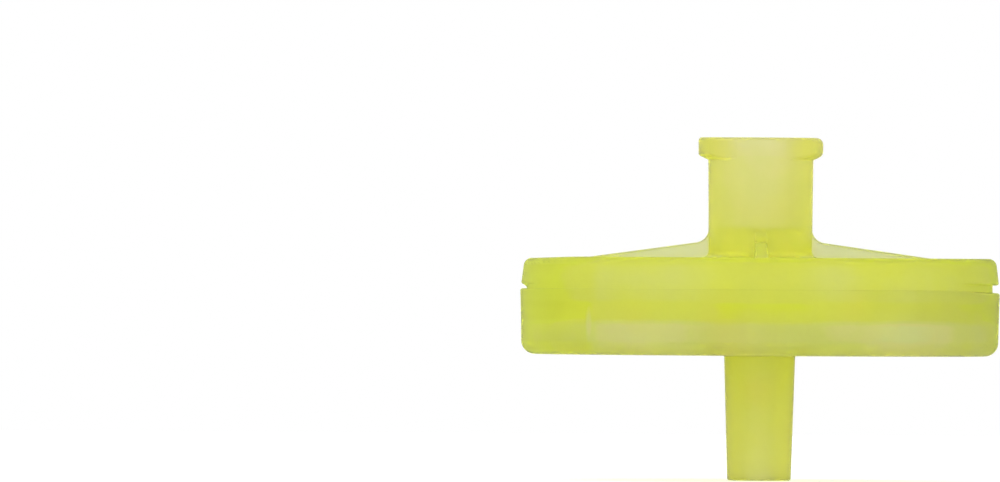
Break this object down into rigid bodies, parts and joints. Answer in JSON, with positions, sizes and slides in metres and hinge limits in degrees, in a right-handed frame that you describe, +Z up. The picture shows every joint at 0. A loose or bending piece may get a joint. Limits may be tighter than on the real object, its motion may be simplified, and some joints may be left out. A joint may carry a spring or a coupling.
{
  "type": "syringe filter",
  "caption": "Disposable syringe filter: a flat round translucent housing with a female luer lock inlet, a tapered luer outlet and a membrane inside.",
  "frame": {"origin": "centre of the outlet tip's end face, the lowest point of the object", "axes": "+Z up the flow axis from the outlet to the inlet; the two inlet lugs lie along +X and -X; +Y is away from the viewer"},
  "size_m": [0.03, 0.03, 0.0214],
  "materials": {
    "translucent_polypropylene": "satin moulded, translucent yellow-green",
    "white_membrane": "matte microporous film"
  },
  "bodies": {
    "root": {"inlet_shell": "translucent_polypropylene", "outlet_shell": "translucent_polypropylene", "membrane": "white_membrane"}
  },
  "joints": []
}
